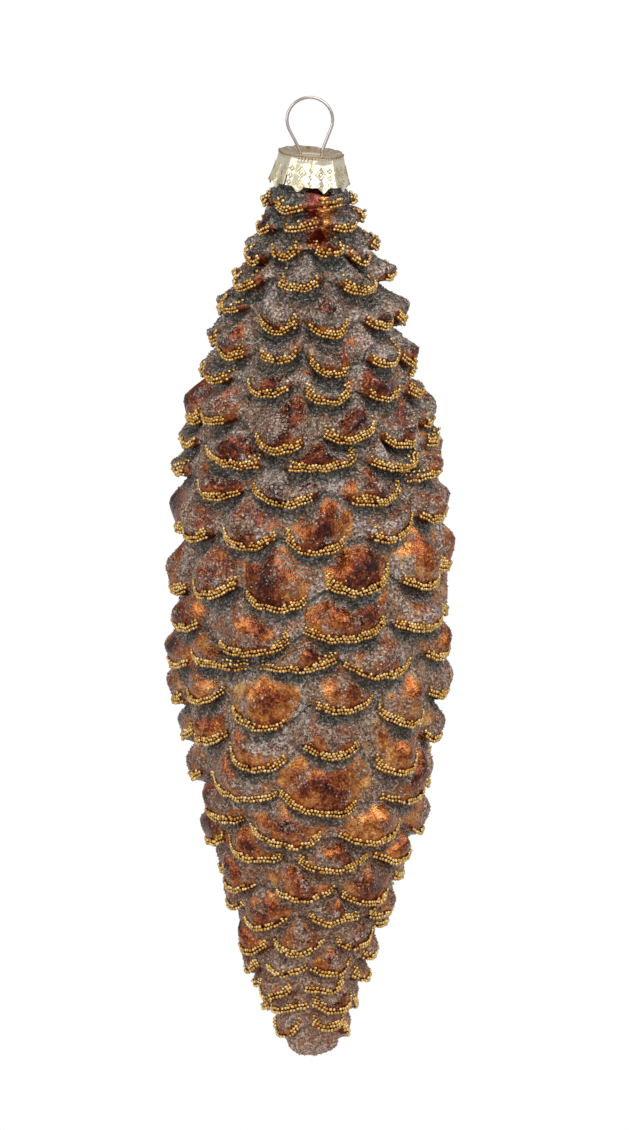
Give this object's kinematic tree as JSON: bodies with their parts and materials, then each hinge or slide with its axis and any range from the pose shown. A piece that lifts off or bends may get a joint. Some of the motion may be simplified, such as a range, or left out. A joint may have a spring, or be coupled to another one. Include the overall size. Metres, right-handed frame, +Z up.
{
  "type": "pine cone ornament",
  "caption": "Hanging blown glass ornament in the shape of a long pine cone, with gold-beaded scales, a crimped metal cap and a wire loop.",
  "frame": {"origin": "the hang point: the inside of the top of the wire loop", "axes": "+Z up along the hanging cone, -Y towards the picture's viewer, +X to the viewer's right"},
  "size_m": [0.0527, 0.0531, 0.183],
  "materials": {
    "lacquered_glass": "silvered, amber to maroon lacquer, frosted with clear glass grains",
    "gold_beads": "band of tiny round gold-coated beads",
    "pale_gold_sheet": "bright stamped sheet, pale gold lacquer",
    "steel_wire": "bright drawn spring wire"
  },
  "bodies": {
    "root": {"glass_body": "lacquered_glass", "cap": "pale_gold_sheet", "hanger_wire": "steel_wire", "bead_edging_tier_01": "gold_beads", "bead_edging_tier_02": "gold_beads", "bead_edging_tier_03": "gold_beads", "bead_edging_tier_04": "gold_beads", "bead_edging_tier_05": "gold_beads", "bead_edging_tier_06": "gold_beads", "bead_edging_tier_07": "gold_beads", "bead_edging_tier_08": "gold_beads", "bead_edging_tier_09": "gold_beads", "bead_edging_tier_10": "gold_beads", "bead_edging_tier_11": "gold_beads", "bead_edging_tier_12": "gold_beads", "bead_edging_tier_13": "gold_beads", "bead_edging_tier_14": "gold_beads", "bead_edging_tier_15": "gold_beads", "bead_edging_tier_16": "gold_beads", "bead_edging_tier_17": "gold_beads", "bead_edging_tier_18": "gold_beads", "bead_edging_tier_19": "gold_beads", "bead_edging_tier_20": "gold_beads", "bead_edging_tier_21": "gold_beads", "bead_edging_tier_22": "gold_beads", "bead_edging_tier_23": "gold_beads", "bead_edging_tier_24": "gold_beads", "bead_edging_tier_25": "gold_beads", "bead_edging_tier_26": "gold_beads"}
  },
  "joints": []
}
